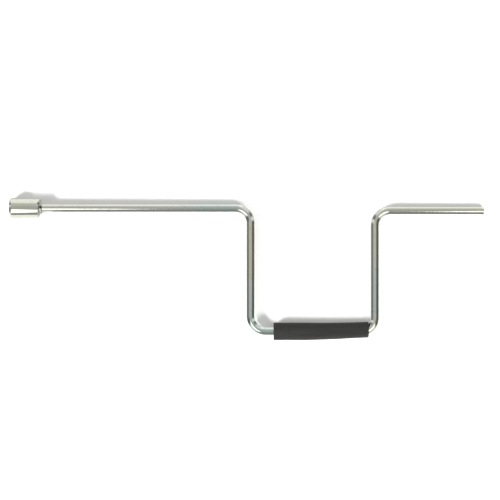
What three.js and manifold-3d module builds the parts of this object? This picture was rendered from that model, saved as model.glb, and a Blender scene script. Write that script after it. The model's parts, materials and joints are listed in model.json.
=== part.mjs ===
// Crank brace: a round bar bent into a crank, with a hexagon drive socket welded to one end
// and a soft sleeve that turns on the crank's throw.
// Millimetres, +Z up. The crank lies flat in XY, with its drive shaft along +X.
import * as THREE from 'three';
import Module from 'manifold-3d';
import { mergeVertices } from 'three/addons/utils/BufferGeometryUtils.js';

const wasm = await Module();
wasm.setup();

// ---- Driving dimensions ----

// The bent bar, measured along and between the axes of its straight runs.
const barDiameter = 10;
const shaftLength = 303; // socket mouth to the axis of the drive arm
const driveArm = 155; // shaft axis to the axis of the grip run
const stubArm = 152; // axis of the grip run to the axis of the stub
const stubLength = 137; // axis of the stub arm to the sheared end
const bendRadius = 19; // centreline radius of the first, second and fourth bends
const gripBendRadius = 16; // centreline radius of the tighter bend that the sleeve is pushed onto
const burrHeight = 0.4; // how far the sheared end is spread past the bar
const burrLength = 2.2;
const burrLip = 0.4; // straight rim at the very end of the burr

// The drive socket.
const socketDiameter = 26;
const socketLength = 37;
const hexAcrossFlats = 19;
const hexDepth = 22;
const leadInMargin = 0.1; // radius of the mouth's countersink past the hexagon's corners
const mouthChamfer = 1;
const mouthChamferLength = 2.2;
const neckDepth = 9; // how far the bar's bore runs into the back of the socket
const shoulderLength = 8; // stretch at the back that narrows
const shoulderTaper = 0.8; // how much the radius drops before the rounded corner
const shoulderRound = 3.5;

// The weld bead between the socket's back face and the bar.
const weldLeg = 2.4; // height of the bead on the socket's face
const weldLength = 3.4; // length of the bead along the bar
const weldToe = 0.3; // thickness of the bead's thin edges

// The grip sleeve.
const gripDiameter = 21.5;
const gripEndDiameter = 19.6;
const gripLength = 118.5;
const gripPlay = 10; // bare bar between the second bend and the sleeve
const gripEdge = 0.4; // broken edges of the two cut ends
const gripMouthWall = 1.5; // wall left at the flared end

// Clearances.
const seatGap = 0.3; // between pieces that are joined for good
const runningGap = 0.4; // radial, between the sleeve's bore and the bar

// Facets.
const barSides = 24;
const bendSteps = 8;
const roundSides = 48;
const arcPoints = 5;
const overrun = 1; // how far a cut runs past the face it opens

// ---- Sizes that follow ----

const barRadius = barDiameter / 2;
const socketRadius = socketDiameter / 2;
const gripRadius = gripDiameter / 2;
const gripEndRadius = gripEndDiameter / 2;
const hexCornerRadius = hexAcrossFlats / Math.sqrt(3);

// The bore flares over the tight bend until only gripMouthWall is left at the sleeve's end.
const gripMouthRadius = gripEndRadius - gripEdge - gripMouthWall;
const gripReach = Math.sqrt(
  (gripBendRadius - barRadius) ** 2 - (gripBendRadius - gripMouthRadius + runningGap) ** 2,
);
const gripRun = bendRadius + gripPlay + gripLength - gripReach + gripBendRadius; // arm to arm

const gripStartX = shaftLength + bendRadius + gripPlay;
const gripBendStart = gripLength - gripReach; // from the sleeve's start to the tight bend
const stubArmX = shaftLength + gripRun;
const overallLength = stubArmX + stubLength;
const gripAxisY = -driveArm;
const stubAxisY = gripAxisY + stubArm;
const barStartX = socketLength - neckDepth + seatGap;

// ---- Solids ----

// Welds a geometry's shared corners, drops triangles that fold onto an edge, and makes it a solid.
function solidOf(geometry) {
  const bare = geometry.clone();
  bare.deleteAttribute('normal');
  bare.deleteAttribute('uv');
  const welded = mergeVertices(bare, 1e-4);
  const corners = welded.index.array;
  const triVerts = [];
  for (let i = 0; i < corners.length; i += 3) {
    const [a, b, c] = [corners[i], corners[i + 1], corners[i + 2]];
    if (a !== b && b !== c && c !== a) triVerts.push(a, b, c);
  }
  return new wasm.Manifold(new wasm.Mesh({
    numProp: 3,
    vertProperties: welded.attributes.position.array,
    triVerts: Uint32Array.from(triVerts),
  }));
}

// Turns a solid back into a geometry with flat facets.
function geometryOf(solid) {
  const mesh = solid.getMesh();
  const geometry = new THREE.BufferGeometry();
  geometry.setAttribute('position', new THREE.BufferAttribute(mesh.vertProperties, 3));
  geometry.setIndex(new THREE.BufferAttribute(mesh.triVerts, 1));
  geometry.computeVertexNormals();
  return geometry;
}

// Turns an outline of [radius, distance] points about the X axis, starting at x = startX.
function turned(outline, sides, startX) {
  const points = outline.map(([radius, along]) => new THREE.Vector2(radius, along));
  const geometry = new THREE.LatheGeometry(points, sides);
  geometry.rotateZ(-Math.PI / 2);
  geometry.translate(startX, 0, 0);
  return solidOf(geometry);
}

// [radius, distance] points of a quarter round that turns from an outer wall to an end face.
function quarterRound(centreRadius, centreAlong, radius) {
  const points = [];
  for (let i = 0; i <= arcPoints; i += 1) {
    const angle = (Math.PI / 2) * (i / arcPoints);
    points.push([centreRadius + radius * Math.cos(angle), centreAlong + radius * Math.sin(angle)]);
  }
  return points;
}

// A path of straight runs joined by round bends. Each run is one step and each bend is several,
// so that a swept section gets its rings where the bar is bent.
class BentPath extends THREE.Curve {
  constructor(corners, radii, stepsPerBend) {
    super();
    this.stops = [corners[0]];
    radii.forEach((radius, i) => {
      const corner = corners[i + 1];
      const before = corners[i].clone().sub(corner).normalize();
      const after = corners[i + 2].clone().sub(corner).normalize();
      const half = before.angleTo(after) / 2;
      const middle = before.clone().add(after).normalize();
      const centre = corner.clone().addScaledVector(middle, radius / Math.sin(half));
      const start = corner.clone().addScaledVector(before, radius / Math.tan(half)).sub(centre);
      const end = corner.clone().addScaledVector(after, radius / Math.tan(half)).sub(centre);
      const sweep = start.angleTo(end);
      const across = end.clone().addScaledVector(start, -Math.cos(sweep)).divideScalar(Math.sin(sweep));
      for (let step = 0; step <= stepsPerBend; step += 1) {
        const angle = sweep * (step / stepsPerBend);
        this.stops.push(centre.clone()
          .addScaledVector(start, Math.cos(angle))
          .addScaledVector(across, Math.sin(angle)));
      }
    });
    this.stops.push(corners[corners.length - 1]);
  }

  get steps() {
    return this.stops.length - 1;
  }

  getPoint(t, target = new THREE.Vector3()) {
    const place = THREE.MathUtils.clamp(t, 0, 1) * this.steps;
    const index = Math.min(Math.floor(place), this.steps - 1);
    return target.lerpVectors(this.stops[index], this.stops[index + 1], place - index);
  }

  getUtoTmapping(u) {
    return u;
  }
}

// ---- Pieces ----

// The bar: one length of round steel through four bends, with a sheared end.
function makeBar() {
  const corners = [
    new THREE.Vector3(barStartX, 0, 0),
    new THREE.Vector3(shaftLength, 0, 0),
    new THREE.Vector3(shaftLength, gripAxisY, 0),
    new THREE.Vector3(stubArmX, gripAxisY, 0),
    new THREE.Vector3(stubArmX, stubAxisY, 0),
    new THREE.Vector3(overallLength, stubAxisY, 0),
  ];
  const path = new BentPath(corners, [bendRadius, bendRadius, gripBendRadius, bendRadius], bendSteps);
  const section = new THREE.Shape();
  for (let i = 0; i < barSides; i += 1) {
    const angle = (2 * Math.PI * i) / barSides;
    const corner = [barRadius * Math.cos(angle), barRadius * Math.sin(angle)];
    if (i === 0) section.moveTo(...corner);
    else section.lineTo(...corner);
  }
  const sweep = new THREE.ExtrudeGeometry(section, {
    steps: path.steps,
    extrudePath: path,
    bevelEnabled: false,
  });
  const burrRadius = barRadius + burrHeight;
  const burr = turned([
    [0, 0],
    [barRadius - burrHeight, 0],
    [burrRadius, burrLength - burrLip],
    [burrRadius, burrLength],
    [0, burrLength],
  ], barSides, overallLength - burrLength).translate([0, stubAxisY, 0]);
  return solidOf(sweep).add(burr);
}

// The socket: a turned body with a hexagon bore in front and a plain bore for the bar behind.
function makeSocket() {
  const roundCentreRadius = socketRadius - shoulderTaper - shoulderRound;
  const body = turned([
    [0, 0],
    [socketRadius - mouthChamfer, 0],
    [socketRadius, mouthChamferLength],
    [socketRadius, socketLength - shoulderLength],
    ...quarterRound(roundCentreRadius, socketLength - shoulderRound, shoulderRound),
    [0, socketLength],
  ], roundSides, 0);

  const hexCut = turned([
    [0, -overrun],
    [hexCornerRadius, -overrun],
    [hexCornerRadius, hexDepth],
    [0, hexDepth],
  ], 6, 0);
  const leadInRadius = hexCornerRadius + leadInMargin;
  const leadInDepth = leadInRadius - hexAcrossFlats / 2; // a 45 degree cone down to the flats
  const leadIn = turned([
    [0, -overrun],
    [leadInRadius + overrun, -overrun],
    [leadInRadius - leadInDepth, leadInDepth],
    [0, leadInDepth],
  ], roundSides, 0);
  const neckRadius = barRadius + seatGap;
  const neckCut = turned([
    [0, 0],
    [neckRadius, 0],
    [neckRadius, neckDepth + overrun],
    [0, neckDepth + overrun],
  ], barSides, socketLength - neckDepth);
  return body.subtract(hexCut).subtract(leadIn).subtract(neckCut);
}

// The weld bead: a ring with a full, rounded face in the corner between socket and bar.
function makeWeld() {
  const inner = barRadius + seatGap;
  const crown = [];
  for (let i = 0; i <= arcPoints; i += 1) {
    const angle = (Math.PI / 2) * (i / arcPoints);
    const radius = inner + weldToe + (weldLeg - weldToe) * Math.cos(angle);
    crown.push([radius, weldToe + (weldLength - weldToe) * Math.sin(angle)]);
  }
  return turned([
    [inner, 0],
    [inner + weldLeg, 0],
    ...crown,
    [inner, weldLength],
    [inner, 0],
  ], roundSides, socketLength + seatGap);
}

// The sleeve: a tapered tube whose bore flares to clear the tight bend at its far end.
function makeSleeve() {
  const flare = [];
  for (let i = arcPoints; i >= 0; i -= 1) {
    const into = gripReach * (i / arcPoints);
    const inside = gripBendRadius - Math.sqrt((gripBendRadius - barRadius) ** 2 - into ** 2);
    flare.push([inside + runningGap, gripBendStart + into]);
  }
  const bore = barRadius + runningGap;
  return turned([
    [bore, 0],
    [gripRadius - gripEdge, 0],
    [gripRadius, gripEdge],
    [gripEndRadius, gripLength - gripEdge],
    [gripEndRadius - gripEdge, gripLength],
    ...flare,
    [bore, 0],
  ], roundSides, gripStartX).translate([0, gripAxisY, 0]);
}

// ---- Assembly ----

const zincPlate = { color: 0xc9ccc0, roughness: 0.22, metalness: 1 };
const zincSocket = { color: 0xc6c9be, roughness: 0.28, metalness: 1 };
const zincWeld = { color: 0xa9aca2, roughness: 0.45, metalness: 1 };
const darkFoam = { color: 0x3f403b, roughness: 0.85, metalness: 0 };

const pieces = [
  ['crank_bar', makeBar(), zincPlate],
  ['drive_socket', makeSocket(), zincSocket],
  ['socket_weld', makeWeld(), zincWeld],
  ['grip_sleeve', makeSleeve(), darkFoam],
];

const brace = new THREE.Group();
for (const [name, solid, finish] of pieces) {
  const mesh = new THREE.Mesh(geometryOf(solid), new THREE.MeshStandardMaterial(finish));
  mesh.name = name;
  brace.add(mesh);
}

// The origin is the middle of the underside of the whole brace's box.
const highestY = Math.max(socketRadius, stubAxisY + barRadius + burrHeight);
const lowestY = gripAxisY - gripRadius;
const halfHeight = Math.max(socketRadius, gripRadius);
brace.position.set(-overallLength / 2, -(highestY + lowestY) / 2, halfHeight);

export default brace;
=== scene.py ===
"""Crank brace: a bent zinc-plated bar, a welded hexagon drive socket and a turning foam grip.

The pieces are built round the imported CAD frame. Lengths are in metres, and MM turns millimetres
into them. The brace lies on its socket, its grip and the end of its stub.
"""

from __future__ import annotations

import json
import logging
import math
from collections.abc import Callable, Sequence
from dataclasses import dataclass, field
from enum import Enum

import bmesh
import bpy
from bpy.types import Material, Mesh, Node, NodeSocket, NodeTree, Object, World
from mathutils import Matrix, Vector, noise


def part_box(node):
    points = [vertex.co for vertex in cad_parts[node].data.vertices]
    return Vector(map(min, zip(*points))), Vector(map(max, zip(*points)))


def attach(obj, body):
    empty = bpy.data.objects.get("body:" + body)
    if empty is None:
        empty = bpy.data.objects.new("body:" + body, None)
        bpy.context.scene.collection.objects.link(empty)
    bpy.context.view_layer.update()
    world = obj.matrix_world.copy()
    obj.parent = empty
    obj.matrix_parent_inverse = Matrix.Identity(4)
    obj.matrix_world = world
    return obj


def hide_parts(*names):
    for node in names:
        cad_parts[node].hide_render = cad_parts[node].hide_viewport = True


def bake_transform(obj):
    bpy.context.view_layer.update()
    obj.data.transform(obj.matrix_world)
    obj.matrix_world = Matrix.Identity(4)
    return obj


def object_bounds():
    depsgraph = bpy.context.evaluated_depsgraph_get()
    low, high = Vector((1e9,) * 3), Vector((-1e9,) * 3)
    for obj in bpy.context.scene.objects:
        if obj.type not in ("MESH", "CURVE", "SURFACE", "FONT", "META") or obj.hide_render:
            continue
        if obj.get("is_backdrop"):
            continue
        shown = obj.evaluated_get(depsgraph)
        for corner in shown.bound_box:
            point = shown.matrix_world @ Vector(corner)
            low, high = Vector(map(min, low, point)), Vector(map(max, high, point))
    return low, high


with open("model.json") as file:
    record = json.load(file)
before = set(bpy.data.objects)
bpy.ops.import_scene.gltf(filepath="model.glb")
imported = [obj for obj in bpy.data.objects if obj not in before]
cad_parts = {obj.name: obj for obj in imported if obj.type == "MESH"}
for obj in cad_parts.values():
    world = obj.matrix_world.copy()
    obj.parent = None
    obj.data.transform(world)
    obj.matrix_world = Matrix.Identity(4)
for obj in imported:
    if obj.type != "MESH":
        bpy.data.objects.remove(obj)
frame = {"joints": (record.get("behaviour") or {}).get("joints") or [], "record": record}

LOG = logging.getLogger("crank_brace")
MM = 0.001
SAME_PLACE = 0.001 * MM
MERGE_DISTANCE = 0.0001 * MM
SOCKETS = {
    float: "NodeSocketFloat",
    int: "NodeSocketInt",
    tuple: "NodeSocketVector",
    Material: "NodeSocketMaterial",
}

Place = tuple[float, float, float]
Stops = tuple[tuple[float, float], ...]
Source = Node | NodeSocket
Grid = list[list[Vector]]


# ---------------------------------------------------------------- colour, nodes and mesh helpers


def linear(hex_code: str) -> tuple[float, float, float, float]:
    """Turns an sRGB hex colour into linear light.

    Args:
        hex_code: Six hex digits after a hash, such as "#C9CCC0".

    Returns:
        Red, green, blue and an alpha of 1.
    """
    channels = [int(hex_code[i : i + 2], 16) / 255 for i in (1, 3, 5)]
    return (*[c / 12.92 if c <= 0.04045 else ((c + 0.055) / 1.055) ** 2.4 for c in channels], 1.0)


def add_node(tree: NodeTree, kind: str, links: dict | None = None, **settings: object) -> Node:
    """Adds a node to a tree.

    Args:
        tree: A shader or geometry tree.
        kind: The node's type, such as "ShaderNodeTexNoise".
        links: Input name or number to a value, or to what feeds it: an output socket, or a node
            that stands for its first output.
        settings: The node's own settings, such as operation="ADD".

    Returns:
        The new node.
    """
    node = tree.nodes.new(kind)
    for name, value in settings.items():
        setattr(node, name, value)
    for key, value in (links or {}).items():
        if isinstance(value, Node):
            value = value.outputs[0]
        if isinstance(value, NodeSocket):
            tree.links.new(value, node.inputs[key])
        else:
            node.inputs[key].default_value = value
    return node


def rounded(corners: Sequence[Vector], radii: Sequence[float], steps: int) -> list[Vector]:
    """Rounds the inner corners of an open outline.

    Args:
        corners: The outline's corners.
        radii: A radius for each corner but the first and last; 0 keeps it sharp.
        steps: Straight pieces in each arc.

    Returns:
        The outline's points.
    """
    points = [corners[0]]
    for before, corner, after, radius in zip(corners, corners[1:], corners[2:], radii):
        if radius <= 0:
            points.append(corner)
            continue
        back = (before - corner).normalized()
        on = (after - corner).normalized()
        half = back.angle(on) / 2
        centre = corner + (back + on).normalized() * (radius / math.sin(half))
        start = corner + back * (radius / math.tan(half)) - centre
        end = corner + on * (radius / math.tan(half)) - centre
        sweep = start.angle(end)
        for step in range(steps + 1):
            t = step / steps
            spoke = start * math.sin((1 - t) * sweep) + end * math.sin(t * sweep)
            points.append(centre + spoke / math.sin(sweep))
    points.append(corners[-1])
    return points


def smooth_step(value: float, low: float, high: float) -> float:
    """Rises smoothly from 0 at low to 1 at high."""
    t = min(1.0, max(0.0, (value - low) / (high - low)))
    return t * t * (3 - 2 * t)


def new_object(name: str, mesh: Mesh) -> Object:
    """Links a mesh into the scene as an object at the origin.

    Args:
        name: The object's name.
        mesh: Its mesh.

    Returns:
        The new object.
    """
    piece = bpy.data.objects.new(name, mesh)
    bpy.context.scene.collection.objects.link(piece)
    return piece


def skin(name: str, grid: Grid, ring_profile: bool, sharp_degrees: float) -> Object:
    """Makes a closed turned body from columns of points that go once round an axis.

    Args:
        name: The piece's name.
        grid: One column of points for each direction round the axis.
        ring_profile: Whether each column closes on itself, as in a tube, or ends on the axis.
        sharp_degrees: Edges that turn more than this are drawn sharp.

    Returns:
        The new object.
    """
    body = bmesh.new()
    rows = [[body.verts.new(point) for point in column] for column in grid]
    count = len(grid[0])
    for column, following in zip(rows, rows[1:] + rows[:1]):
        for k in range(count if ring_profile else count - 1):
            n = (k + 1) % count
            body.faces.new((column[k], following[k], following[n], column[n]))
    bmesh.ops.remove_doubles(body, verts=body.verts, dist=MERGE_DISTANCE)
    bmesh.ops.recalc_face_normals(body, faces=body.faces)
    mesh = bpy.data.meshes.new(name)
    body.to_mesh(mesh)
    body.free()
    piece = new_object(name, mesh)
    shade(piece, sharp_degrees)
    return piece


def shade(piece: Object, sharp_degrees: float) -> None:
    """Shades a piece smooth, with edges that turn more than sharp_degrees kept sharp."""
    piece.data.polygons.foreach_set("use_smooth", [True] * len(piece.data.polygons))
    piece.data.set_sharp_from_angle(angle=math.radians(sharp_degrees))


def store_places(piece: Object, name: str) -> None:
    """Keeps each point's resting place as an attribute, so that a pattern turns with the surface.

    Args:
        piece: The object.
        name: The attribute's name.
    """
    attribute = piece.data.attributes.new(name, "FLOAT_VECTOR", "POINT")
    flat = [value for vertex in piece.data.vertices for value in vertex.co]
    attribute.data.foreach_set("vector", flat)


def blank_tree(owner: Material | World) -> NodeTree:
    """Gives a material or a world an empty node tree.

    Args:
        owner: The material or world.

    Returns:
        Its tree.
    """
    owner.use_nodes = True
    owner.node_tree.nodes.clear()
    return owner.node_tree


def level_curve(tree: NodeTree, value: Source, stops: Stops) -> NodeSocket:
    """Turns a value into a level by straight lines between stops.

    Args:
        tree: The shader tree.
        value: What gives the value.
        stops: Pairs of value and level, in order of value.

    Returns:
        The output that gives the level.
    """
    low, high = stops[0][0], stops[-1][0]
    share = add_node(tree, "ShaderNodeMapRange", {"Value": value, "From Min": low, "From Max": high})
    node = add_node(tree, "ShaderNodeValToRGB", {"Fac": share})
    ramp = node.color_ramp
    for index, (position, level) in enumerate(stops):
        place = (position - low) / (high - low)
        stop = ramp.elements[index] if index < 2 else ramp.elements.new(place)
        stop.position = place
        stop.color = (level, level, level, 1.0)
    return node.outputs["Color"]


def bake_nodes(piece: Object, tree: NodeTree, values: dict) -> None:
    """Runs a Geometry Nodes tree on a piece and leaves the plain mesh that it makes.

    Args:
        piece: The object that the tree starts from.
        tree: The tree.
        values: Input name to value.
    """
    modifier = piece.modifiers.new(tree.name, "NODES")
    modifier.node_group = tree
    for item in tree.interface.items_tree:
        if item.item_type == "SOCKET" and item.in_out == "INPUT" and item.name in values:
            modifier[item.identifier] = values[item.name]
    graph = bpy.context.evaluated_depsgraph_get()
    made = bpy.data.meshes.new_from_object(
        piece.evaluated_get(graph), preserve_all_data_layers=True, depsgraph=graph
    )
    piece.modifiers.remove(modifier)
    rough = piece.data
    piece.data = made
    made.name = piece.name
    bpy.data.meshes.remove(rough)


def geometry_tree(name: str, values: dict) -> tuple[NodeTree, Node]:
    """Starts a Geometry Nodes tree.

    Args:
        name: The tree's name.
        values: Input name to the value that it will be given, for each input after the geometry.

    Returns:
        The tree and its input node.
    """
    tree = bpy.data.node_groups.new(name, "GeometryNodeTree")
    tree.interface.new_socket("Geometry", in_out="INPUT", socket_type="NodeSocketGeometry")
    for socket, value in values.items():
        tree.interface.new_socket(socket, in_out="INPUT", socket_type=SOCKETS[type(value)])
    tree.interface.new_socket("Geometry", in_out="OUTPUT", socket_type="NodeSocketGeometry")
    return tree, add_node(tree, "NodeGroupInput")


def close_tree(tree: NodeTree, geometry: Source, material: Source) -> None:
    """Ends a Geometry Nodes tree with Realize Instances and Set Material.

    Args:
        tree: The tree.
        geometry: What gives its geometry.
        material: What gives its material.
    """
    real = add_node(tree, "GeometryNodeRealizeInstances", {"Geometry": geometry})
    dressed = add_node(tree, "GeometryNodeSetMaterial", {"Geometry": real, "Material": material})
    add_node(tree, "NodeGroupOutput", {"Geometry": dressed})


# ---------------------------------------------------------------- finishes


class Plating(Enum):
    """How a plated steel surface was made before it was plated."""

    DRAWN = "drawn"
    TURNED = "turned"
    WELDED = "welded"


@dataclass(frozen=True)
class BrightZinc:
    """Bright zinc plate with a thin clear passivation, over steel.

    The plate is a near mirror. Its cast drifts between straw and blue-green along the bar, by a
    listed table of stops. The marks of the steel under it show through as fine lines. Where weld
    and socket meet, painted shade darkens the crevice and its pits to near black.
    """

    name: str
    plating: Plating
    silver: str = "#E3E4DC"
    straw: str = "#E1E3CC"
    teal: str = "#CEE2DC"
    # painted shade: the near black that darkens the weld's crevice and pits
    bloom: str = "#B9BAB3"
    painted_crevice_shade: str = "#151411"
    roughness: float = 0.08
    roughness_spread: float = 0.12
    cast_size: float = 42 * MM
    plain_cast: float = 0.75
    plain_swing: float = 1.0
    bar_swing: float = 0.5
    cast_along_bar: Stops = (
        (0.0, 0.60), (0.100, 0.58), (0.190, 0.45), (0.212, 0.18), (0.250, 0.15), (0.262, 0.50),
        (0.282, 0.55), (0.292, 1.00), (0.348, 0.98), (0.362, 0.45), (0.400, 0.20), (0.450, 0.15),
        (0.556, 0.80), (0.578, 0.72), (0.586, 0.22), (0.636, 0.25), (0.648, 0.60), (0.700, 0.85),
        (0.726, 0.66), (0.740, 0.78), (0.844, 0.78),
    )
    line_spacing: float = 0.7 * MM  # real draw and tool marks are 0.1 mm apart, too fine to show
    line_length: float = 60 * MM
    line_depth: float = 0.008 * MM
    grain_size: float = 1.3 * MM
    grain_depth: float = 0.006 * MM
    cloud_share: float = 0.22  # a cloud of the plate's bloom is about five grains across

    def place(self, tree: NodeTree) -> NodeSocket:
        """Gives where a point is: along and across the straightened bar, or on the piece itself.

        Args:
            tree: The material's tree.

        Returns:
            The output that gives the place.
        """
        if self.plating is Plating.DRAWN:
            return add_node(tree, "ShaderNodeAttribute", attribute_name="bar_place").outputs["Vector"]
        return add_node(tree, "ShaderNodeTexCoord").outputs["Object"]

    def stretch(self) -> Place:
        """Works out the scale of the tool marks.

        Returns:
            Marks per metre along X, Y and Z.
        """
        fine = 1 / self.line_spacing
        long = 1 / self.line_length
        if self.plating is Plating.DRAWN:
            return (long, fine, fine)
        if self.plating is Plating.TURNED:
            return (fine, long, long)
        return (fine, fine, fine)

    def build(self) -> Material:
        """Makes the material.

        Returns:
            The material, with its colour drift, tool marks, plating grain and bloom.
        """
        material = bpy.data.materials.new(self.name)
        tree = blank_tree(material)
        place = self.place(tree)

        cloud = add_node(tree, "ShaderNodeTexNoise", {
            "Vector": place, "Scale": self.cloud_share / self.grain_size, "Detail": 5.0,
            "Roughness": 0.62,
        })
        bloom = add_node(tree, "ShaderNodeMapRange", {
            "Value": cloud, "From Min": 0.55, "From Max": 0.78, "To Max": 0.4,
        })
        colour = self.mixed(tree, bloom, self.cast(tree, place), self.bloom)
        # painted shade: the weld's crevice attribute darkens its plate towards near black
        if self.plating is Plating.WELDED:
            crevice = add_node(tree, "ShaderNodeAttribute", attribute_name="crevice")
            colour = self.mixed(tree, crevice.outputs["Fac"], colour, self.painted_crevice_shade)

        stretched = add_node(tree, "ShaderNodeMapping", {
            "Vector": place, "Scale": self.stretch(),
        }, vector_type="POINT")
        marks = add_node(tree, "ShaderNodeTexNoise", {
            "Vector": stretched, "Scale": 1.0, "Detail": 3.0, "Roughness": 0.6,
        })
        grain = add_node(tree, "ShaderNodeTexNoise", {
            "Vector": place, "Scale": 1 / self.grain_size, "Detail": 3.0,
        })
        line_bump = add_node(tree, "ShaderNodeBump", {"Height": marks, "Distance": self.line_depth})
        bump = add_node(tree, "ShaderNodeBump", {
            "Height": grain, "Distance": self.grain_depth, "Normal": line_bump,
        })
        sheen = add_node(tree, "ShaderNodeMapRange", {
            "Value": cloud, "From Min": 0.3, "From Max": 0.8, "To Min": self.roughness,
            "To Max": self.roughness + self.roughness_spread,
        })
        shader = add_node(tree, "ShaderNodeBsdfPrincipled", {
            "Base Color": colour, "Metallic": 1.0, "Roughness": sheen, "Normal": bump,
        })
        add_node(tree, "ShaderNodeOutputMaterial", {"Surface": shader})
        return material

    def cast(self, tree: NodeTree, place: NodeSocket) -> NodeSocket:
        """Gives the plate's colour: blue-green at 0, silver in the middle, straw at 1.

        Args:
            tree: The material's tree.
            place: The output that gives where a point is.

        Returns:
            The output that gives the colour.
        """
        drift = add_node(tree, "ShaderNodeTexNoise", {
            "Vector": place, "Scale": 1 / self.cast_size, "Detail": 2.0,
        })
        middle = self.plain_cast
        swing = self.plain_swing
        if self.plating is Plating.DRAWN:
            run = add_node(tree, "ShaderNodeSeparateXYZ", {"Vector": place})
            middle = level_curve(tree, run.outputs["X"], self.cast_along_bar)
            swing = self.bar_swing
        off = add_node(tree, "ShaderNodeMath", {0: drift, 1: 0.5}, operation="SUBTRACT")
        value = add_node(tree, "ShaderNodeMath", {
            0: off, 1: swing, 2: middle,
        }, operation="MULTIPLY_ADD")
        colours = add_node(tree, "ShaderNodeValToRGB", {"Fac": value})
        colours.color_ramp.elements[0].color = linear(self.teal)
        colours.color_ramp.elements[1].color = linear(self.straw)
        colours.color_ramp.elements.new(0.5).color = linear(self.silver)
        return colours.outputs["Color"]

    def mixed(self, tree: NodeTree, amount: Source, base: Source, over: str) -> NodeSocket:
        """Mixes a hex colour over the plate's colour, through the Mix node's colour sockets."""
        mix = add_node(tree, "ShaderNodeMix", {0: amount, 6: base, 7: linear(over)}, data_type="RGBA")
        return mix.outputs[2]


@dataclass(frozen=True)
class FoamRubber:
    """Closed-cell foam rubber, extruded as a tube and cut to length.

    Its skin is matt and nearly smooth, with fine pores and a faint bloom where hands rub it.
    """

    name: str = "closed_cell_foam_rubber"
    charcoal: str = "#1E1E1D"
    rubbed: str = "#292927"
    roughness: float = 0.78
    pore_size: float = 0.9 * MM  # real cells are 0.3 mm, drawn coarser so that they show
    pore_depth: float = 0.05 * MM
    wear_size: float = 7 * MM
    streak_share: float = 0.12  # the die leaves streaks eight times as long as they are wide

    def build(self) -> Material:
        """Makes the material.

        Returns:
            The material, on the resting places stored with the sleeve.
        """
        material = bpy.data.materials.new(self.name)
        tree = blank_tree(material)
        place = add_node(tree, "ShaderNodeAttribute", attribute_name="foam_place").outputs["Vector"]
        drawn_out = add_node(tree, "ShaderNodeMapping", {
            "Vector": place, "Scale": (self.streak_share, 1.0, 1.0),
        })
        wear = add_node(tree, "ShaderNodeTexNoise", {
            "Vector": drawn_out, "Scale": 1 / self.wear_size, "Detail": 5.0, "Roughness": 0.7,
        })
        tone = add_node(tree, "ShaderNodeValToRGB", {"Fac": wear})
        tone.color_ramp.elements[0].position = 0.35
        tone.color_ramp.elements[0].color = linear(self.charcoal)
        tone.color_ramp.elements[1].position = 0.7
        tone.color_ramp.elements[1].color = linear(self.rubbed)
        cells = add_node(tree, "ShaderNodeTexVoronoi", {"Vector": place, "Scale": 1 / self.pore_size})
        fine = add_node(tree, "ShaderNodeTexNoise", {
            "Vector": place, "Scale": 2 / self.pore_size, "Detail": 3.0,
        })
        cell_bump = add_node(tree, "ShaderNodeBump", {"Height": cells, "Distance": self.pore_depth})
        bump = add_node(tree, "ShaderNodeBump", {
            "Height": fine, "Distance": self.pore_depth * 0.6, "Normal": cell_bump,
        })
        shader = add_node(tree, "ShaderNodeBsdfPrincipled", {
            "Base Color": tone, "Roughness": self.roughness, "Specular IOR Level": 0.35,
            "Sheen Weight": 0.12, "Sheen Roughness": 0.45, "Normal": bump,
        })
        add_node(tree, "ShaderNodeOutputMaterial", {"Surface": shader})
        return material


# ---------------------------------------------------------------- sizes


@dataclass
class BraceLayout:
    """Where the brace's axes run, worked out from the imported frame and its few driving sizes."""

    shaft_length: float = 303 * MM
    stub_length: float = 137 * MM
    bend_radius: float = 19 * MM
    grip_bend_radius: float = 16 * MM
    seat_gap: float = 0.3 * MM
    mouth_x: float = field(init=False)
    shaft_y: float = field(init=False)
    axis_z: float = field(init=False)
    grip_y: float = field(init=False)
    stub_y: float = field(init=False)
    stub_end_x: float = field(init=False)
    bar_start_x: float = field(init=False)
    bar_radius: float = field(init=False)

    def __post_init__(self) -> None:
        """Reads the axes from the frame's boxes, joint and mounts."""
        socket_low, socket_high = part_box("drive_socket")
        bar_low, bar_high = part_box("crank_bar")
        joint = frame["joints"][0]
        ends = {mount["name"]: mount["pos_m"] for mount in frame["record"]["mounts"]}
        self.mouth_x = socket_low.x
        self.shaft_y = (socket_low.y + socket_high.y) / 2
        self.axis_z = (socket_low.z + socket_high.z) / 2
        self.grip_y = joint["pos_m"][1]
        self.stub_y = ends["stub_end"][1]
        self.stub_end_x = bar_high.x
        self.bar_start_x = bar_low.x
        self.bar_radius = self.grip_y - bar_low.y

    @property
    def drive_arm_x(self) -> float:
        """X of the arm's axis beside the drive shaft."""
        return self.mouth_x + self.shaft_length

    @property
    def stub_arm_x(self) -> float:
        """X of the arm's axis beside the stub."""
        return self.stub_end_x - self.stub_length

    def centreline(self, steps: int) -> list[Vector]:
        """Gives the bar's bent centreline.

        Args:
            steps: Straight pieces in each bend.

        Returns:
            Points from the end inside the socket to the end of the stub.
        """
        corners = [
            Vector((self.bar_start_x, self.shaft_y, self.axis_z)),
            Vector((self.drive_arm_x, self.shaft_y, self.axis_z)),
            Vector((self.drive_arm_x, self.grip_y, self.axis_z)),
            Vector((self.stub_arm_x, self.grip_y, self.axis_z)),
            Vector((self.stub_arm_x, self.stub_y, self.axis_z)),
            Vector((self.stub_end_x, self.stub_y, self.axis_z)),
        ]
        radii = [self.bend_radius, self.bend_radius, self.grip_bend_radius, self.bend_radius]
        return rounded(corners, radii, steps)


# ---------------------------------------------------------------- pieces


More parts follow.
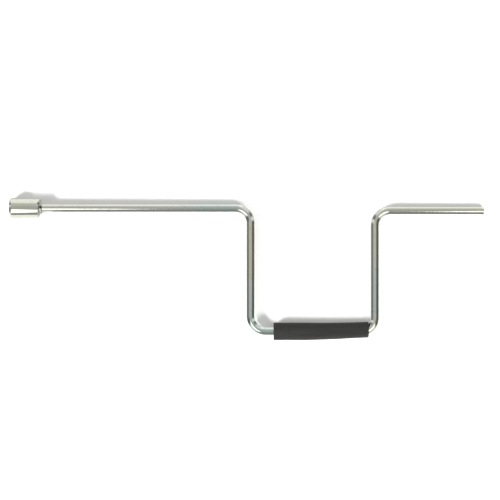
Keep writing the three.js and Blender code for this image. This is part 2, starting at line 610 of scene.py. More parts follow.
@dataclass
class BentBar:
    """One length of drawn round bar, bent four times, with a sheared end on the stub.

    A shear rolls the bar's edge over where its blade goes in, and drags out a burr opposite.
    """

    layout: BraceLayout
    finish: BrightZinc
    sides: int = 96
    bend_steps: int = 48
    burr_length: float = 3.6 * MM
    rollover: float = 0.85 * MM
    burr: float = 0.6 * MM
    burr_steps: int = 8
    burr_curve: float = 1.5
    face_rings: int = 7
    face_relief: float = 0.3 * MM
    face_rim: float = 0.05  # share of the radius that the torn face leaves alone
    tear_size: float = 1.1 * MM
    step_size: float = 3.1 * MM

    def sweep_tree(self, values: dict) -> NodeTree:
        """Builds the tree that sweeps a round section along a line of points.

        Args:
            values: The radius, the number of sides and the material, by input name.

        Returns:
            The tree.
        """
        tree, given = geometry_tree("swept_round_bar", values)
        line = add_node(tree, "GeometryNodeMeshToCurve", {"Mesh": given.outputs["Geometry"]})
        upright = add_node(tree, "GeometryNodeSetCurveNormal", {"Curve": line}, mode="Z_UP")
        spline = add_node(tree, "GeometryNodeSplineParameter")
        measured = add_node(tree, "GeometryNodeStoreNamedAttribute", {
            "Geometry": upright, "Name": "run", "Value": spline.outputs["Length"],
        }, data_type="FLOAT", domain="POINT")
        section = add_node(tree, "GeometryNodeCurvePrimitiveCircle", {
            "Resolution": given.outputs["Sides"], "Radius": given.outputs["Radius"],
        })
        spot = add_node(tree, "GeometryNodeInputPosition")
        marked = add_node(tree, "GeometryNodeStoreNamedAttribute", {
            "Geometry": section, "Name": "section", "Value": spot,
        }, data_type="FLOAT_VECTOR", domain="POINT")
        swept = add_node(tree, "GeometryNodeCurveToMesh", {
            "Curve": measured, "Profile Curve": marked, "Fill Caps": True,
        })
        run = add_node(tree, "GeometryNodeInputNamedAttribute", {"Name": "run"}, data_type="FLOAT")
        across = add_node(tree, "GeometryNodeInputNamedAttribute", {
            "Name": "section",
        }, data_type="FLOAT_VECTOR")
        parts = add_node(tree, "ShaderNodeSeparateXYZ", {"Vector": across.outputs["Attribute"]})
        straight = add_node(tree, "ShaderNodeCombineXYZ", {
            "X": run.outputs["Attribute"], "Y": parts.outputs["X"], "Z": parts.outputs["Y"],
        })
        placed = add_node(tree, "GeometryNodeStoreNamedAttribute", {
            "Geometry": swept, "Name": "bar_place", "Value": straight,
        }, data_type="FLOAT_VECTOR", domain="POINT")
        close_tree(tree, placed, given.outputs["Finish"])
        return tree

    def shear_end(self, piece: Object) -> None:
        """Gives the stub's end its sheared face, rolled over on one side, with a burr on the other.

        Args:
            piece: The swept bar.
        """
        layout = self.layout
        body = bmesh.new()
        body.from_mesh(piece.data)
        body.faces.ensure_lookup_table()
        end_x = layout.stub_end_x
        cap = [f for f in body.faces if all(abs(v.co.x - end_x) < SAME_PLACE for v in f.verts)]
        ring = layout.bar_radius / (self.face_rings + 1)
        for _ in range(self.face_rings):
            bmesh.ops.inset_region(
                body, faces=cap, thickness=ring, use_even_offset=False, use_interpolate=True
            )
        for vertex in body.verts:
            if vertex.co.x < end_x - self.burr_length - SAME_PLACE:
                continue
            offset = vertex.co - Vector((vertex.co.x, layout.stub_y, layout.axis_z))
            spread = smooth_step(vertex.co.x, end_x - self.burr_length, end_x) ** self.burr_curve
            reach = offset.y / layout.bar_radius
            lip = -self.rollover if reach > 0 else self.burr
            vertex.co.y += lip * spread * reach * abs(reach)
            inside = 1 - offset.length / layout.bar_radius
            if abs(vertex.co.x - end_x) < SAME_PLACE and inside > self.face_rim:
                torn = noise.noise(vertex.co / self.tear_size) * 0.5
                torn += noise.noise(vertex.co / self.step_size)
                vertex.co.x += self.face_relief * min(1.0, inside * 3) * (torn * 0.6 - 0.5)
        body.to_mesh(piece.data)
        body.free()

    def build(self) -> Object:
        """Sweeps the bar, shears its end and sets it on the crank.

        Returns:
            The piece.
        """
        layout = self.layout
        points = layout.centreline(self.bend_steps)
        last = points.pop()
        for step in range(self.burr_steps + 1):
            back = self.burr_length * (1 - step / self.burr_steps)
            points.append(Vector((last.x - back, last.y, last.z)))
        mesh = bpy.data.meshes.new("bent_bar")
        mesh.from_pydata(points, [(i, i + 1) for i in range(len(points) - 1)], [])
        piece = new_object("bent_bar", mesh)
        values = {"Radius": layout.bar_radius, "Sides": self.sides, "Finish": self.finish.build()}
        bake_nodes(piece, self.sweep_tree(values), values)
        self.shear_end(piece)
        shade(piece, sharp_degrees=50)
        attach(piece, "crank")
        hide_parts("crank_bar")
        return piece


@dataclass
class DriveSocket:
    """A turned steel socket with a broached hexagon bore, a drilled floor and a rounded shoulder."""

    layout: BraceLayout
    finish: BrightZinc
    across_flats: float = 19 * MM
    hex_depth: float = 22 * MM
    neck_depth: float = 9 * MM
    mouth_chamfer: float = 1.5 * MM
    mouth_chamfer_length: float = 2.6 * MM
    lead_in_margin: float = 0.1 * MM
    drill_margin: float = 0.2 * MM
    body_taper: float = 0.45 * MM
    shoulder_round: float = 1.6 * MM
    corner_round: float = 0.45 * MM
    edge_round: float = 0.3 * MM
    chip_groove: float = 0.5 * MM
    columns_per_side: int = 28
    crowding: float = 1.6  # draws the columns towards the hexagon's corners
    round_steps: int = 10

    def hex_radius(self, angle: float) -> float:
        """Finds the hexagon's wall, with its corners slightly rounded.

        Args:
            angle: Direction round the axis, with 0 at a corner.

        Returns:
            The wall's distance from the axis.
        """
        sixth = math.pi / 3
        from_corner = (angle + sixth / 2) % sixth - sixth / 2
        flat = self.across_flats / 2 / math.cos(sixth / 2 - abs(from_corner))
        centre = (self.across_flats / 2 - self.corner_round) / math.cos(sixth / 2)
        across = centre * math.sin(abs(from_corner))
        if across >= self.corner_round * math.sin(sixth / 2):
            return flat
        reach = centre * math.cos(from_corner) + math.sqrt(self.corner_round**2 - across**2)
        return min(flat, reach)

    def profile(self, angle: float, radius: float, length: float) -> list[Vector]:
        """Gives the socket's outline in one direction, from the hexagon's floor round to the neck's.

        Args:
            angle: Direction round the axis, with 0 at a corner of the hexagon.
            radius: The socket's outside radius.
            length: The socket's length.

        Returns:
            Points of (distance from the mouth, distance from the axis).
        """
        wall = self.hex_radius(angle)
        lead_in = self.across_flats / math.sqrt(3) + self.lead_in_margin
        neck = self.layout.bar_radius + self.layout.seat_gap
        drill = self.across_flats / 2 - self.drill_margin
        edge = self.edge_round
        corners = [
            (self.hex_depth, 0.0, 0.0),
            (self.hex_depth - self.chip_groove, drill, edge),
            (self.hex_depth - 3 * self.chip_groove, wall, edge),
            (lead_in - wall, wall, 0.0),
            (0.0, lead_in, 0.6 * edge),
            (0.0, radius - self.mouth_chamfer, 0.5 * edge),
            (self.mouth_chamfer_length, radius, 4 * edge),
            (length, radius - self.body_taper, self.shoulder_round),
            (length, neck, edge),
            (length - self.neck_depth, neck, 0.0),
            (length - self.neck_depth, 0.0, 0.0),
        ]
        places = [Vector((x, r, 0.0)) for x, r, _ in corners]
        return rounded(places, [turn for _, _, turn in corners[1:-1]], self.round_steps)

    def build(self) -> Object:
        """Turns the socket and sets it on the crank.

        Returns:
            The piece.
        """
        low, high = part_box("drive_socket")
        radius = (high.y - low.y) / 2
        layout = self.layout
        sixth = math.pi / 3
        angles = []
        for side in range(6):
            for k in range(self.columns_per_side):
                t = k / self.columns_per_side * 2 - 1
                share = math.copysign(1 - (1 - abs(t)) ** self.crowding, t)
                angles.append(side * sixth + sixth / 2 + (sixth / 2) * share)
        grid = []
        for angle in angles:
            column = []
            for point in self.profile(angle, radius, high.x - low.x):
                y = layout.shaft_y + point.y * math.sin(angle)
                z = layout.axis_z + point.y * math.cos(angle)
                column.append(Vector((layout.mouth_x + point.x, y, z)))
            grid.append(column)
        piece = skin("hex_drive_socket", grid, ring_profile=False, sharp_degrees=38)
        piece.data.materials.append(self.finish.build())
        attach(piece, "crank")
        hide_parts("drive_socket")
        return piece


@dataclass
class WeldBead:
    """The fillet weld between the socket's back face and the bar, laid as overlapping ripples.

    The pass starts and stops at the top, where it laps over the socket's shoulder on one side and
    leaves a slanting crevice with a pit at each end.
    """

    layout: BraceLayout
    finish: BrightZinc
    shoulder_round: float = 1.9 * MM  # the socket's own shoulder and the bead's thickness on it
    shoulder_centre: float = 10.95 * MM  # distance of the shoulder's arc centre from the axis
    lap_from: float = 8.0  # degrees round the bar from straight up, towards the open side
    lap_to: float = 26.0
    lap_hold: float = 30.0  # degrees over which the lap keeps its full length
    lap_end: float = 100.0
    lap_length: float = 6.3 * MM
    wander: float = 0.12  # share of the lap that the toe wanders where it doesn't lap over
    # how the crown's curve leaves its toe and comes down to its foot, plain and lapped over
    reach_plain: tuple[float, float] = (1.7 * MM, 0.0)
    reach_lapped: tuple[float, float] = (1.9 * MM, 0.35 * MM)
    foot_rise: float = 1.2 * MM
    lapped_back: float = 0.7 * MM
    lapped_rise: float = 9.8 * MM
    ripples: int = 17
    ripple_height: float = 0.24 * MM
    lump_height: float = 0.35 * MM
    lump_scale: float = 330.0  # lumps about 3 mm across
    skew: float = 240.0  # how far the ripples lean along the bar, in radians per metre
    crown_steps: int = 26
    columns: int = 240
    seed: float = 3.7
    pits: tuple[tuple[float, float], ...] = ((-1.0 * MM, 5.0 * MM), (2.0 * MM, 0.9 * MM))
    pit_size: float = 1.55 * MM
    crevice_width: float = 0.6 * MM
    crevice_depth: float = 0.2 * MM
    crevice_share: float = 0.75  # depth and painted shade of the line between the pits
    pit_core: float = 1.35  # above 1: full depth and painted shade right across a pit's middle

    def lap(self, angle: float) -> float:
        """Works out how far the bead laps over the shoulder in one direction.

        Args:
            angle: Direction round the axis, 0 straight up.

        Returns:
            The share of the full lap.
        """
        degrees = math.degrees(angle)
        drift = noise.noise(Vector((math.sin(angle), math.cos(angle), self.seed)))
        over = smooth_step(degrees, self.lap_from, self.lap_to)
        fall = smooth_step(degrees, self.lap_to + self.lap_hold, self.lap_end)
        return max(self.wander + self.wander * drift, over - fall)

    def crevice(self, x: float, y: float) -> float:
        """How deep in the crevice a point on the bead's top is, 0 to 1; it also sets painted shade.

        Args:
            x: Distance behind the socket's back face.
            y: Distance from the axis towards the open side.

        Returns:
            1 in the middle of a pit, and 0 away from the crevice.
        """
        spot = Vector((x, y))
        start, end = Vector(self.pits[0]), Vector(self.pits[1])
        along = min(1.0, max(0.0, (spot - start).dot(end - start) / (end - start).length_squared))
        off_line = (spot - start.lerp(end, along)).length / self.crevice_width
        off_pit = min((spot - pit).length for pit in (start, end)) / self.pit_size
        line = self.crevice_share * math.exp(-(off_line**2))
        return max(line, min(1.0, self.pit_core * math.exp(-(off_pit**2))))

    def toe(self, length: float, low_x: float, outer: float) -> Vector:
        """Walks from the plain toe up the socket's back, round its shoulder and along its side.

        Args:
            length: How far to walk.
            low_x: Where the plain toe is along the bar.
            outer: The plain toe's distance from the axis.

        Returns:
            The place reached, as (x, distance from the axis).
        """
        face = self.shoulder_centre - outer
        quarter = self.shoulder_round * math.pi / 2
        up = min(length, face)
        turn = min(max(0.0, length - face), quarter) / self.shoulder_round
        along = max(0.0, length - face - quarter)
        x = low_x - self.shoulder_round * (1 - math.cos(turn)) - along
        return Vector((x, outer + up + self.shoulder_round * math.sin(turn)))

    def outline(self, angle: float, low_x: float, high_x: float, outer: float) -> list[Vector]:
        """Gives the bead's section in one direction round the bar.

        Args:
            angle: Direction round the axis, 0 straight up.
            low_x: The bead's plain toe, just behind the socket's back face.
            high_x: Where the bead runs out on the bar.
            outer: The plain toe's distance from the axis.

        Returns:
            Points of (x, distance from the axis, height of the ripples).
        """
        inner = self.layout.bar_radius + self.layout.seat_gap
        lap = self.lap(angle)
        toe = self.toe(lap * self.lap_length, low_x, outer)
        reach = Vector(self.reach_plain).lerp(Vector(self.reach_lapped), lap)
        full = Vector((high_x - self.lapped_back, self.lapped_rise))
        rise = Vector((high_x, inner + self.foot_rise)).lerp(full, lap)
        foot = Vector((high_x, inner))
        points = [Vector((low_x, inner, 0.0)), Vector((low_x, (inner + outer) / 2, 0.0))]
        for k in range(self.crown_steps + 1):
            t = k / self.crown_steps
            s = 1 - t
            spot = s**3 * toe + 3 * s * s * t * (toe + reach) + 3 * s * t * t * rise + t**3 * foot
            points.append(Vector((spot.x, spot.y, math.sin(math.pi * t) ** 0.5)))
        return points

    def ripple_tree(self, values: dict) -> NodeTree:
        """Builds the tree that raises ripples and lumps on the plain bead.

        Args:
            values: The ripples, lumps, axis, seed and material, by input name.

        Returns:
            The tree.
        """
        tree, given = geometry_tree("weld_ripples", values)
        spot = add_node(tree, "GeometryNodeInputPosition")
        local = add_node(tree, "ShaderNodeVectorMath", {
            0: spot, 1: given.outputs["Axis Point"],
        }, operation="SUBTRACT")
        parts = add_node(tree, "ShaderNodeSeparateXYZ", {"Vector": local})
        angle = add_node(tree, "ShaderNodeMath", {
            0: parts.outputs["Y"], 1: parts.outputs["Z"],
        }, operation="ARCTAN2")
        half_turns = add_node(tree, "ShaderNodeMath", {
            0: given.outputs["Ripples"], 1: 0.5,
        }, operation="MULTIPLY")
        phase = add_node(tree, "ShaderNodeMath", {0: angle, 1: half_turns}, operation="MULTIPLY")
        lean = add_node(tree, "ShaderNodeMath", {
            0: parts.outputs["X"], 1: given.outputs["Skew"], 2: phase,
        }, operation="MULTIPLY_ADD")
        wave = add_node(tree, "ShaderNodeMath", {0: lean}, operation="SINE")
        crest = add_node(tree, "ShaderNodeMath", {0: wave}, operation="ABSOLUTE")
        ripple = add_node(tree, "ShaderNodeMath", {
            0: crest, 1: given.outputs["Ripple Height"],
        }, operation="MULTIPLY")
        rough = add_node(tree, "ShaderNodeTexNoise", {
            "Vector": spot, "W": given.outputs["Seed"], "Scale": given.outputs["Lump Scale"],
            "Detail": 2.0,
        }, noise_dimensions="4D")
        centred = add_node(tree, "ShaderNodeMath", {0: rough, 1: 0.5}, operation="SUBTRACT")
        rise = add_node(tree, "ShaderNodeMath", {
            0: centred, 1: given.outputs["Lump Height"], 2: ripple,
        }, operation="MULTIPLY_ADD")
        crown = add_node(tree, "GeometryNodeInputNamedAttribute", {"Name": "crown"}, data_type="FLOAT")
        kept = add_node(tree, "ShaderNodeMath", {
            0: rise, 1: crown.outputs["Attribute"],
        }, operation="MULTIPLY")
        outward = add_node(tree, "GeometryNodeInputNormal")
        push = add_node(tree, "ShaderNodeVectorMath", {0: outward, "Scale": kept}, operation="SCALE")
        raised = add_node(tree, "GeometryNodeSetPosition", {
            "Geometry": given.outputs["Geometry"], "Offset": push,
        })
        close_tree(tree, raised, given.outputs["Finish"])
        return tree

    def build(self) -> Object:
        """Lays the bead and sets it on the crank.

        Returns:
            The piece, with each point's crevice depth as an attribute, also used for painted shade.
        """
        layout = self.layout
        low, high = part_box("socket_weld")
        back_x = low.x - layout.seat_gap
        grid = []
        crowns = []
        depths = []
        for j in range(self.columns):
            angle = 2 * math.pi * j / self.columns
            column = []
            for x, r, crown in self.outline(angle, low.x, high.x, (high.y - low.y) / 2):
                depth = 0.0
                if math.cos(angle) > 0 and crown > 0:
                    depth = self.crevice(x - back_x, r * math.sin(angle))
                r -= self.crevice_depth * depth
                y = layout.shaft_y + r * math.sin(angle)
                column.append(Vector((x, y, layout.axis_z + r * math.cos(angle))))
                crowns.append(crown * (1 - depth))
                depths.append(depth)
            grid.append(column)
        piece = skin("socket_weld_bead", grid, ring_profile=True, sharp_degrees=180)
        for name, values in (("crown", crowns), ("crevice", depths)):
            piece.data.attributes.new(name, "FLOAT", "POINT").data.foreach_set("value", values)
        values = {
            "Ripples": float(self.ripples),
            "Ripple Height": self.ripple_height,
            "Lump Height": self.lump_height,
            "Lump Scale": self.lump_scale,
            "Skew": self.skew,
            "Axis Point": (low.x, layout.shaft_y, layout.axis_z),
            "Seed": self.seed,
            "Finish": self.finish.build(),
        }
        bake_nodes(piece, self.ripple_tree(values), values)
        shade(piece, sharp_degrees=60)
        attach(piece, "crank")
        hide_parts("socket_weld")
        return piece


@dataclass
class FoamSleeve:
    """The soft sleeve on the throw: a cut foam tube, pushed over the start of the tight bend."""

    layout: BraceLayout
    finish: FoamRubber
    columns: int = 128
    swell: float = 0.4 * MM  # how much prouder than its plain solid the soft tube stands
    thinning: float = 1.25 * MM  # lost from the radius where the tube is stretched over the bend
    thinning_length: float = 78 * MM
    thinning_curve: float = 0.8
    over_bend: float = 8.0 * MM
    sag: float = 0.5 * MM  # the loose tube lies to one side of the bar
    lift: float = 2.15 * MM  # how far the bend carries the sleeve's end towards the shaft
    lift_curve: float = 1.7
    bore_gap: float = 0.45 * MM
    bore_flare: float = 0.25 * MM
    cut_round: float = 0.35 * MM
    worn_round: float = 0.7 * MM
    unevenness: float = 0.12 * MM
    wave_length: float = 19 * MM
    waves_round: float = 1.7
    edge_steps: int = 8
    wall_steps: int = 110
    bore_steps: int = 70
    turn_margin: float = 12 * MM
    turn_length: float = 34 * MM
    start_x: float = field(init=False)
    bend_x: float = field(init=False)
    end_x: float = field(init=False)
    full_radius: float = field(init=False)

    def __post_init__(self) -> None:
        """Reads the sleeve's own box, and where the tight bend starts under it."""
        low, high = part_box("grip_sleeve")
        self.start_x = low.x
        self.full_radius = (high.y - low.y) / 2 + self.swell
        self.bend_x = self.layout.stub_arm_x - self.layout.grip_bend_radius
        self.end_x = self.bend_x + self.over_bend

    def stretch(self, x: float) -> float:
        """How far x is along the stretched part, from 0 to 1 at the sleeve's end."""
        return max(0.0, 1 - (self.end_x - x) / self.thinning_length)

    def rise(self, x: float) -> float:
        """How far the sleeve's middle is towards the shaft at x."""
        return self.lift * self.stretch(x) ** self.lift_curve - self.sag

    def bar_rise(self, x: float) -> float:
        """How far the bar's centreline has moved towards the shaft at x."""
        radius = self.layout.grip_bend_radius
        return radius - math.sqrt(radius**2 - max(0.0, x - self.bend_x) ** 2)

    def outer_radius(self, x: float) -> float:
        """The sleeve's outside radius at x, thinner towards the bend."""
        return self.full_radius - self.thinning * self.stretch(x) ** self.thinning_curve

    def profile(self) -> list[tuple[float, float, bool]]:
        """Gives the sleeve's closed outline, along the outside and back through the bore.

        Returns:
            Points of x, how far an edge's rounding takes the point inwards, and whether it is the bore.
        """
        quarter = [math.pi / 2 * k / self.edge_steps for k in range(self.edge_steps + 1)]
        first = self.start_x + self.cut_round
        last = self.end_x - self.worn_round
        left = [
            (first - self.cut_round * math.cos(a), self.cut_round * (1 - math.sin(a)), False)
            for a in quarter
        ]
        wall = [
            (first + (last - first) * k / self.wall_steps, 0.0, False)
            for k in range(1, self.wall_steps)
        ]
        right = [
            (last + self.worn_round * math.sin(a), self.worn_round * (1 - math.cos(a)), False)
            for a in quarter
        ]
        bore = [
            (self.end_x + (self.start_x - self.end_x) * k / self.bore_steps, 0.0, True)
            for k in range(self.bore_steps + 1)
        ]
        return left + wall + right + bore

    def point(self, x: float, drop: float, bore: bool, angle: float) -> Vector:
        """Places one point of the outline in one direction round the bar.

        Args:
            x: Distance along the grip's axis.
            drop: How far an edge's rounding takes the point inwards.
            bore: Whether the point is on the bore.
            angle: Direction round the axis.

        Returns:
            The point.
        """
        layout = self.layout
        if bore:
            into = max(0.0, x - self.bend_x)
            slope = math.asin(into / layout.grip_bend_radius)
            across = layout.bar_radius + self.bore_gap
            tall = across / math.cos(slope)
            tall += self.bore_flare * smooth_step(into, 0, self.over_bend)
            y = layout.grip_y + self.bar_rise(x) + tall * math.sin(angle)
            return Vector((x, y, layout.axis_z + across * math.cos(angle)))
        radius = self.outer_radius(x) - drop
        side, up = math.sin(angle), math.cos(angle)
        spot = Vector((x / self.wave_length, self.waves_round * side, self.waves_round * up))
        radius += self.unevenness * noise.noise(spot)
        return Vector((x, layout.grip_y + self.rise(x) + radius * side, layout.axis_z + radius * up))

    def build(self) -> Object:
        """Moulds the sleeve.

        Returns:
            The piece.
        """
        outline = self.profile()
        grid = [
            [self.point(x, drop, bore, 2 * math.pi * j / self.columns) for x, drop, bore in outline]
            for j in range(self.columns)
        ]
        piece = skin("foam_grip_sleeve", grid, ring_profile=True, sharp_degrees=60)
        store_places(piece, "foam_place")
        piece.data.materials.append(self.finish.build())
        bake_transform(piece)
        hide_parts("grip_sleeve")
        return piece


# ---------------------------------------------------------------- stage, light and camera


class LampUse(Enum):
    """What a lamp is for: lighting matt surfaces and casting shadows, or showing in the plate."""

    LIGHTS = "lights"
    SHOWS = "shows"


@dataclass(frozen=True)
class Lamp:
    """A soft box, aimed at a point: a rectangle if it lights, round-ended if it shows."""

    name: str
    use: LampUse
    place: Place
    aim: Place
    width: float
    height: float
    radiance: float

    def build(self) -> None:
        """Hangs the lamp."""
        data = bpy.data.lights.new(self.name, "AREA")
        area = self.width * self.height
        if self.use is LampUse.SHOWS:
            data.shape = "ELLIPSE"
            area *= math.pi / 4
        else:
            data.shape = "RECTANGLE"
        data.size = self.width
        data.size_y = self.height
        data.energy = self.radiance * math.pi * area
        lamp = bpy.data.objects.new(self.name, data)
        bpy.context.scene.collection.objects.link(lamp)
        lamp.location = self.place
        lamp.rotation_mode = "QUATERNION"
        lamp.rotation_quaternion = (Vector(self.aim) - Vector(self.place)).to_track_quat("-Z", "Y")
        lamp.visible_glossy = self.use is LampUse.SHOWS
        lamp.visible_diffuse = self.use is LampUse.LIGHTS


@dataclass
class Studio:
    """A plain white table, soft boxes in front and a grey room that shows in the plate."""

    layout: BraceLayout
    socket: Object
    sleeve: Object
    frame_width: float = 630 * MM
    camera_height: float = 2.2
    view_below_shaft: float = 53 * MM
    view_left_of_arm: float = 0.7 * MM
    sensor: float = 36.0
    view_depth: float = 50.0
    table_white: str = "#E6E6E4"
    table_lift: float = 0.15
    table_margin: tuple[float, float] = (0.35, 0.45)
    table_gap: float = 0.15 * MM
    table_sides: int = 96
    table_corner: float = 0.5  # 1 makes the table oval, less squares its corners
    card_x: tuple[float, float] = (-60 * MM, 50 * MM)  # from the socket's mouth
    card_y: tuple[float, float] = (-17 * MM, -170 * MM)  # from the shaft's axis
    card_z: tuple[float, float] = (0.001, 0.03)
    card_glow: float = 1.1
    ambient: float = 0.55
    lamps: tuple[Lamp, ...] = (
        Lamp("key_left", LampUse.LIGHTS, (-1.24, -0.60, 1.15), (-0.25, 0.0, 0.0), 0.50, 0.30, 94.0),
        Lamp("key_right", LampUse.LIGHTS, (1.05, -0.86, 1.15), (0.25, 0.0, 0.0), 0.50, 0.30, 60.0),
        Lamp("strip_left", LampUse.SHOWS, (-0.62, -0.80, 1.10), (-0.62, 0.0, 0.0), 0.80, 1.20, 1.35),
        Lamp("strip_right", LampUse.SHOWS, (0.78, -0.82, 1.08), (0.78, 0.0, 0.0), 0.80, 1.24, 1.5),
    )
    front_to_back: Stops = (
        (-1.0, 0.24), (-0.72, 0.28), (-0.3, 0.40), (-0.1, 0.38), (0.02, 0.48), (0.16, 0.37),
        (0.24, 0.38), (0.38, 0.50), (0.52, 0.56), (0.64, 0.40), (0.76, 0.66), (0.88, 0.85), (1.0, 0.95),
    )
    left_to_right: Stops = (
        (-1.0, 0.40), (-0.86, 0.60), (-0.72, 0.90), (-0.5, 1.28), (-0.28, 1.48), (-0.13, 1.10),
        (0.02, 1.16), (0.12, 1.07), (0.26, 1.50), (0.38, 1.28), (0.5, 0.92), (0.86, 0.27), (1.0, 0.24),
    )
    away_from_overhead: Stops = ((0.0, 0.0), (0.35, 0.0), (0.6, 1.0))
    corner_share: Stops = (
        (-1.0, 0.0), (-0.95, 0.0), (-0.85, 1.0), (-0.2, 1.0), (-0.1, 0.0), (0.1, 0.0), (0.18, 1.0),
        (0.85, 1.0), (0.97, 0.0), (1.0, 0.0),
    )
    corner_level: Stops = (
        (-1.0, 0.30), (-0.85, 0.70), (-0.6, 0.85), (-0.5, 0.40), (-0.42, 0.13), (-0.24, 0.13),
        (-0.1, 0.30), (0.12, 0.34), (0.2, 0.95), (0.33, 0.95), (0.41, 0.26), (0.52, 0.20), (0.6, 0.34),
        (0.68, 0.80), (1.0, 0.90),
    )
    board_share: Stops = ((-1.0, 1.0), (-0.8, 1.0), (-0.5, 0.0), (1.0, 0.0))
    side_share: Stops = (
        (-1.0, 0.0), (-0.6, 0.0), (-0.4, 1.0), (0.4, 1.0), (0.6, 0.0), (1.0, 0.0),
    )
    board_level: float = 0.66

    def rest_height(self) -> Callable[[float, float], float]:
        """Finds the plane that the brace rests on: socket, sleeve and stub's end.

        Returns:
            A function that gives the table's height at x, y.
        """
        layout = self.layout
        stub = Vector((layout.stub_end_x, layout.stub_y, layout.axis_z - layout.bar_radius))
        slope = stub.z / (stub.x - layout.mouth_x)
        socket, grip = (
            min((vertex.co for vertex in piece.data.vertices), key=lambda spot: spot.z - slope * spot.x)
            for piece in (self.socket, self.sleeve)
        )
        normal = (stub - socket).cross(grip - socket).normalized()
        lean_x, lean_y = normal.x / normal.z, normal.y / normal.z
        return lambda x, y: socket.z - lean_x * (x - socket.x) - lean_y * (y - socket.y)

    def table(self) -> None:
        """Lays a thin white table under the brace, just wider than its shadows."""
        height = self.rest_height()
        low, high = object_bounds()
        middle = (low + high) / 2
        half_x = (high.x - low.x) / 2 + self.table_margin[0]
        half_y = (high.y - low.y) / 2 + self.table_margin[1]
        body = bmesh.new()
        rim = []
        for k in range(self.table_sides):
            angle = 2 * math.pi * k / self.table_sides
            across, along = math.cos(angle), math.sin(angle)
            x = middle.x + half_x * math.copysign(abs(across) ** self.table_corner, across)
            y = middle.y + half_y * math.copysign(abs(along) ** self.table_corner, along)
            rim.append(body.verts.new((x, y, height(x, y) - self.table_gap)))
        body.faces.new(rim)
        mesh = bpy.data.meshes.new("table")
        body.to_mesh(mesh)
        body.free()
        top = new_object("table", mesh)
        top.visible_glossy = False
        material = bpy.data.materials.new("matt_white_board")
        tree = blank_tree(material)
        shader = add_node(tree, "ShaderNodeBsdfPrincipled", {
            "Base Color": linear(self.table_white), "Roughness": 0.9, "Specular IOR Level": 0.1,
            "Emission Color": (1.0, 1.0, 1.0, 1.0), "Emission Strength": self.table_lift,
        })
        add_node(tree, "ShaderNodeOutputMaterial", {"Surface": shader})
        mesh.materials.append(material)
        top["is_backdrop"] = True

    def front_card(self) -> None:
        """Leans a white card in front of the socket, which only shows in the socket's underside."""
        layout = self.layout
        left, right = (layout.mouth_x + x for x in self.card_x)
        near, far = (layout.shaft_y + y for y in self.card_y)
        low, high = self.card_z
        mesh = bpy.data.meshes.new("front_card")
        corners = [(left, near, low), (left, far, high), (right, far, high), (right, near, low)]
        mesh.from_pydata(corners, [], [(0, 1, 2, 3)])
        card = new_object("front_card", mesh)
        card.visible_camera = False
        card.visible_diffuse = False
        card.visible_shadow = False
        material = bpy.data.materials.new("white_card")
        tree = blank_tree(material)
        glow = add_node(tree, "ShaderNodeEmission", {"Strength": self.card_glow})
        add_node(tree, "ShaderNodeOutputMaterial", {"Surface": glow})
        mesh.materials.append(material)
        card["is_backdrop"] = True

    def room(self, tree: NodeTree) -> NodeSocket:
        """Gives the room's brightness in each direction.

        Straight to the front, back and sides it follows two curves. In the corners between them,
        away from overhead, it follows a third one, and low at the sides it is the white board.

        Args:
            tree: The world's tree.

        Returns:
            The output that gives the brightness.
        """
        direction = add_node(tree, "ShaderNodeTexCoord").outputs["Generated"]
        parts = add_node(tree, "ShaderNodeSeparateXYZ", {"Vector": direction})
        depth = level_curve(tree, parts.outputs["Y"], self.front_to_back)
        width = level_curve(tree, parts.outputs["X"], self.left_to_right)
        straight = add_node(tree, "ShaderNodeMath", {0: depth, 1: width}, operation="MULTIPLY")
        flat = add_node(tree, "ShaderNodeVectorMath", {0: direction, 1: (1, 1, 0)}, operation="MULTIPLY")
        reach = add_node(tree, "ShaderNodeVectorMath", {0: flat}, operation="LENGTH")
        bearing = add_node(tree, "ShaderNodeMath", {
            0: parts.outputs["Y"], 1: reach.outputs["Value"],
        }, operation="DIVIDE")
        away = level_curve(tree, reach.outputs["Value"], self.away_from_overhead)
        between = level_curve(tree, bearing, self.corner_share)
        share = add_node(tree, "ShaderNodeMath", {0: away, 1: between}, operation="MULTIPLY")
        corner = level_curve(tree, bearing, self.corner_level)
        upper = add_node(tree, "ShaderNodeMix", {0: share, 2: straight, 3: corner})
        below = level_curve(tree, parts.outputs["Z"], self.board_share)
        beside = level_curve(tree, bearing, self.side_share)
        board = add_node(tree, "ShaderNodeMath", {0: below, 1: beside}, operation="MULTIPLY")
        whole = add_node(tree, "ShaderNodeMix", {0: board, 2: upper, 3: self.board_level})
        return whole.outputs[0]

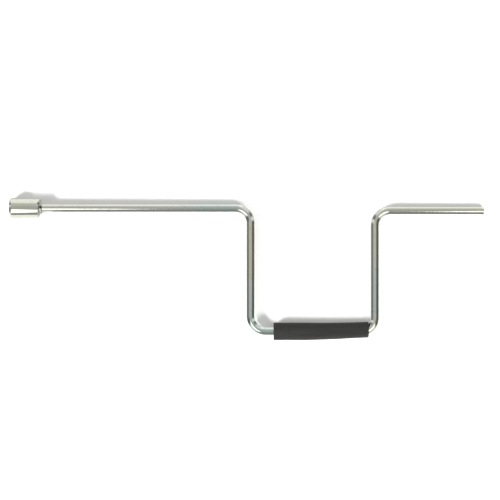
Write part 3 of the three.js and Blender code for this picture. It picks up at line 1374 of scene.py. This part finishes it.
    def surroundings(self) -> None:
        """Paints the room: dark in front and at the sides, lighter behind, white to the camera."""
        world = bpy.data.worlds.new("grey_room")
        bpy.context.scene.world = world
        tree = blank_tree(world)
        room = self.room(tree)
        rays = add_node(tree, "ShaderNodeLightPath")
        white = add_node(tree, "ShaderNodeBackground", {"Color": (1, 1, 1, 1), "Strength": 1.0})
        fill = add_node(tree, "ShaderNodeBackground", {"Color": (1, 1, 1, 1), "Strength": self.ambient})
        shown = add_node(tree, "ShaderNodeBackground", {"Color": room, "Strength": 1.0})
        lit = add_node(tree, "ShaderNodeMixShader", {
            0: rays.outputs["Is Glossy Ray"], 1: fill, 2: shown,
        })
        both = add_node(tree, "ShaderNodeMixShader", {
            0: rays.outputs["Is Camera Ray"], 1: lit, 2: white,
        })
        add_node(tree, "ShaderNodeOutputWorld", {"Surface": both})

    def camera(self) -> None:
        """Hangs the camera straight above, with a long lens."""
        layout = self.layout
        data = bpy.data.cameras.new("overhead")
        data.sensor_width = self.sensor
        data.lens = self.sensor * self.camera_height / self.frame_width
        data.clip_end = self.view_depth
        camera = bpy.data.objects.new("overhead", data)
        bpy.context.scene.collection.objects.link(camera)
        camera.location = (
            layout.drive_arm_x - self.view_left_of_arm,
            layout.shaft_y - self.view_below_shaft,
            layout.axis_z + self.camera_height,
        )
        bpy.context.scene.camera = camera

    def build(self) -> None:
        """Sets up the table, lamps, room and camera."""
        self.camera()
        self.table()
        self.front_card()
        for lamp in self.lamps:
            lamp.build()
        self.surroundings()
        bpy.context.scene.view_settings.view_transform = "Standard"


def main() -> None:
    """Builds the brace piece by piece, then its stage."""
    logging.basicConfig(level=logging.INFO, format="%(name)s: %(message)s")
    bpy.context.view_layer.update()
    layout = BraceLayout()
    makers = (
        BentBar(layout, BrightZinc("bright_zinc_on_drawn_bar", Plating.DRAWN)),
        DriveSocket(layout, BrightZinc("bright_zinc_on_turned_steel", Plating.TURNED)),
        WeldBead(layout, BrightZinc("bright_zinc_on_weld", Plating.WELDED, roughness=0.28)),
        FoamSleeve(layout, FoamRubber()),
    )
    built = [maker.build() for maker in makers]
    for piece in built:
        LOG.info("%s: %d faces", piece.name, len(piece.data.polygons))
    _, socket, _, sleeve = built
    Studio(layout, socket, sleeve).build()


if __name__ == "__main__":
    main()
